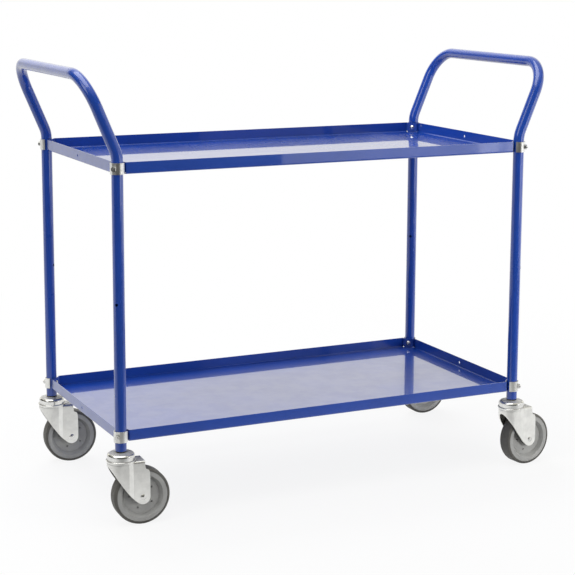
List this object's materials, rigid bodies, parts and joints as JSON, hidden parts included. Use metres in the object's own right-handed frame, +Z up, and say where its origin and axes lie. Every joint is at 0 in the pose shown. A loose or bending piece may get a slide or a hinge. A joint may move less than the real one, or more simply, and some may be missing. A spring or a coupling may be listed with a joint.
{
  "type": "two-shelf table trolley",
  "caption": "Two-shelf table trolley: bent-tube end frames with leaning handles carry folded-sheet shelves with lips, and it rolls on swivel castors",
  "frame": {"origin": "on the ground, under the middle of the overall length and width", "axes": "+X along the length towards the right-hand handle, +Y from the front to the back, +Z up"},
  "size_m": [1.1783, 0.555, 0.9775],
  "materials": {
    "frame_paint": "gloss blue powder coat on steel tube",
    "shelf_paint": "gloss blue powder coat on sheet steel",
    "clamp_zinc": "bright zinc plate",
    "fastener_zinc": "bright zinc plate",
    "plug_black": "matt black",
    "head_zinc": "bright zinc plate on pressed steel",
    "pin_steel": "plain turned steel",
    "ball_steel": "polished bearing steel",
    "fork_zinc": "satin zinc plate on pressed steel",
    "axle_zinc": "bright zinc plate",
    "bush_nylon": "matt nylon",
    "rim_grey": "satin moulded plastic",
    "tyre_grey": "matt non-marking rubber"
  },
  "bodies": {
    "frame": {"left_end_frame": "frame_paint", "right_end_frame": "frame_paint", "top_shelf": "shelf_paint", "low_shelf": "shelf_paint", "top_clamp_fl": "clamp_zinc", "top_clamp_bl": "clamp_zinc", "top_clamp_fr": "clamp_zinc", "top_clamp_br": "clamp_zinc", "low_clamp_fl": "clamp_zinc", "low_clamp_bl": "clamp_zinc", "low_clamp_fr": "clamp_zinc", "low_clamp_br": "clamp_zinc", "shelf_bolts": "fastener_zinc", "shelf_nuts": "fastener_zinc", "plug_fl": "plug_black", "head_fl": "head_zinc", "kingpin_fl": "pin_steel", "plug_bl": "plug_black", "head_bl": "head_zinc", "kingpin_bl": "pin_steel", "plug_fr": "plug_black", "head_fr": "head_zinc", "kingpin_fr": "pin_steel", "plug_br": "plug_black", "head_br": "head_zinc", "kingpin_br": "pin_steel"},
    "swivel_fl": {"fork_fl": "fork_zinc", "axle_bolt_fl": "axle_zinc", "axle_nut_fl": "axle_zinc", "sleeve_fl": "pin_steel", "balls_fl": "ball_steel"},
    "wheel_fl": {"rim_fl": "rim_grey", "tyre_fl": "tyre_grey", "bush_fl": "bush_nylon"},
    "swivel_bl": {"fork_bl": "fork_zinc", "axle_bolt_bl": "axle_zinc", "axle_nut_bl": "axle_zinc", "sleeve_bl": "pin_steel", "balls_bl": "ball_steel"},
    "wheel_bl": {"rim_bl": "rim_grey", "tyre_bl": "tyre_grey", "bush_bl": "bush_nylon"},
    "swivel_fr": {"fork_fr": "fork_zinc", "axle_bolt_fr": "axle_zinc", "axle_nut_fr": "axle_zinc", "sleeve_fr": "pin_steel", "balls_fr": "ball_steel"},
    "wheel_fr": {"rim_fr": "rim_grey", "tyre_fr": "tyre_grey", "bush_fr": "bush_nylon"},
    "swivel_br": {"fork_br": "fork_zinc", "axle_bolt_br": "axle_zinc", "axle_nut_br": "axle_zinc", "sleeve_br": "pin_steel", "balls_br": "ball_steel"},
    "wheel_br": {"rim_br": "rim_grey", "tyre_br": "tyre_grey", "bush_br": "bush_nylon"}
  },
  "joints": [
    {"name": "swivel_turn_fl", "type": "hinge", "parent": "frame", "child": "swivel_fl", "pos_m": [-0.50569, -0.245, 0.143], "axis": [0, 0, 1], "continuous": true},
    {"name": "wheel_roll_fl", "type": "hinge", "parent": "swivel_fl", "child": "wheel_fl", "pos_m": [-0.46374, -0.2472, 0.0625], "axis": [0.0523, 0.9986, 0], "continuous": true},
    {"name": "swivel_turn_bl", "type": "hinge", "parent": "frame", "child": "swivel_bl", "pos_m": [-0.50569, 0.245, 0.143], "axis": [0, 0, 1], "continuous": true},
    {"name": "wheel_roll_bl", "type": "hinge", "parent": "swivel_bl", "child": "wheel_bl", "pos_m": [-0.46385, 0.24134, 0.0625], "axis": [0.0872, 0.9962, 0], "continuous": true},
    {"name": "swivel_turn_fr", "type": "hinge", "parent": "frame", "child": "swivel_fr", "pos_m": [0.48431, -0.245, 0.143], "axis": [0, 0, 1], "continuous": true},
    {"name": "wheel_roll_fr", "type": "hinge", "parent": "swivel_fr", "child": "wheel_fr", "pos_m": [0.52608, -0.24061, 0.0625], "axis": [-0.1045, 0.9945, 0], "continuous": true},
    {"name": "swivel_turn_br", "type": "hinge", "parent": "frame", "child": "swivel_br", "pos_m": [0.48431, 0.245, 0.143], "axis": [0, 0, 1], "continuous": true},
    {"name": "wheel_roll_br", "type": "hinge", "parent": "swivel_br", "child": "wheel_br", "pos_m": [0.52631, 0.245, 0.0625], "axis": [0, 1, 0], "continuous": true}
  ]
}
